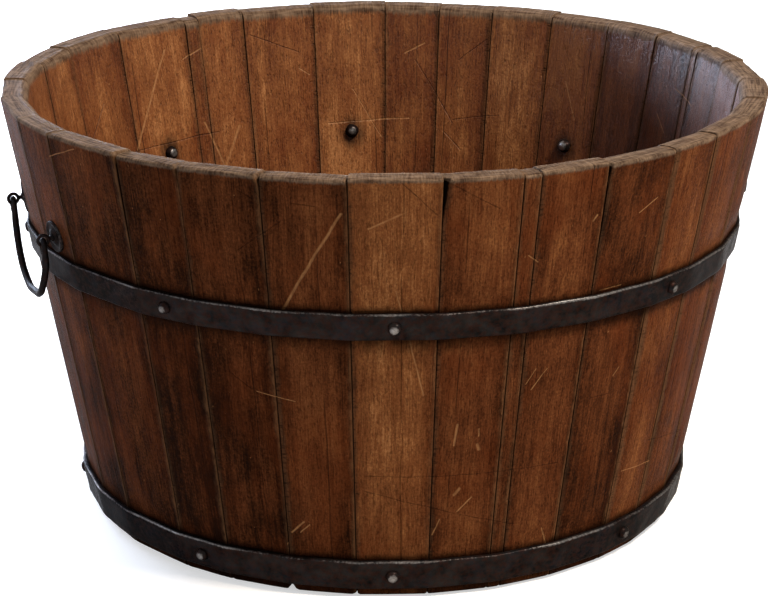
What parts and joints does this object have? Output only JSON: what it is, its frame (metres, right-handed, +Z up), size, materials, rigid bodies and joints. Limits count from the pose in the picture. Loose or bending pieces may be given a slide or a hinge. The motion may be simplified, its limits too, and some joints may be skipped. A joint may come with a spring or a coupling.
{
  "type": "wooden wash tub",
  "caption": "Round staved wooden tub that tapers to the foot, held by riveted iron hoops, with a drop bail in two eyes on each side.",
  "frame": {"origin": "middle of the foot, on the floor", "axes": "+Z up; the bails are on the X axis, with the left one at -X; -Y is towards the viewer"},
  "size_m": [0.595, 0.596, 0.338],
  "materials": {
    "stained_wood": "dark stained and oiled boards, worn pale along the edges, semi-gloss",
    "dowel_wood": "plain turned hardwood, hidden between the boards",
    "hoop_iron": "forged black iron strap, rubbed bright on its upper edge, with traces of rust",
    "rivet_iron": "hammered iron rivets with domed heads",
    "handle_iron": "forged black iron, smoother and glossier than the hoops"
  },
  "bodies": {
    "tub": {"stave_1": "stained_wood", "stave_2": "stained_wood", "stave_3": "stained_wood", "stave_4": "stained_wood", "stave_5": "stained_wood", "stave_6": "stained_wood", "stave_7": "stained_wood", "stave_8": "stained_wood", "stave_9": "stained_wood", "stave_10": "stained_wood", "stave_11": "stained_wood", "stave_12": "stained_wood", "stave_13": "stained_wood", "stave_14": "stained_wood", "stave_15": "stained_wood", "stave_16": "stained_wood", "stave_17": "stained_wood", "stave_18": "stained_wood", "stave_19": "stained_wood", "stave_20": "stained_wood", "stave_21": "stained_wood", "stave_22": "stained_wood", "stave_23": "stained_wood", "stave_24": "stained_wood", "stave_25": "stained_wood", "stave_26": "stained_wood", "stave_27": "stained_wood", "stave_28": "stained_wood", "stave_29": "stained_wood", "stave_30": "stained_wood", "stave_31": "stained_wood", "stave_32": "stained_wood", "stave_33": "stained_wood", "bottom_board_1": "stained_wood", "bottom_board_2": "stained_wood", "bottom_board_3": "stained_wood", "bottom_board_4": "stained_wood", "bottom_board_5": "stained_wood", "bottom_dowels": "dowel_wood", "mid_hoop": "hoop_iron", "low_hoop": "hoop_iron", "mid_hoop_rivets": "rivet_iron", "low_hoop_rivets": "rivet_iron", "lap_rivets": "rivet_iron", "left_front_rosette": "handle_iron", "left_rear_rosette": "handle_iron", "right_front_rosette": "handle_iron", "right_rear_rosette": "handle_iron", "left_front_eye": "handle_iron", "left_rear_eye": "handle_iron", "right_front_eye": "handle_iron", "right_rear_eye": "handle_iron"},
    "left_bail": {"left_bail": "handle_iron"},
    "right_bail": {"right_bail": "handle_iron"}
  },
  "joints": [
    {"name": "left_bail_swing", "type": "hinge", "parent": "tub", "child": "left_bail", "pos_m": [-0.28716, 0, 0.248], "axis": [0, 1, 0], "range_deg": [-11, 170]},
    {"name": "right_bail_swing", "type": "hinge", "parent": "tub", "child": "right_bail", "pos_m": [0.28716, 0, 0.248], "axis": [0, -1, 0], "range_deg": [-11, 170]}
  ]
}
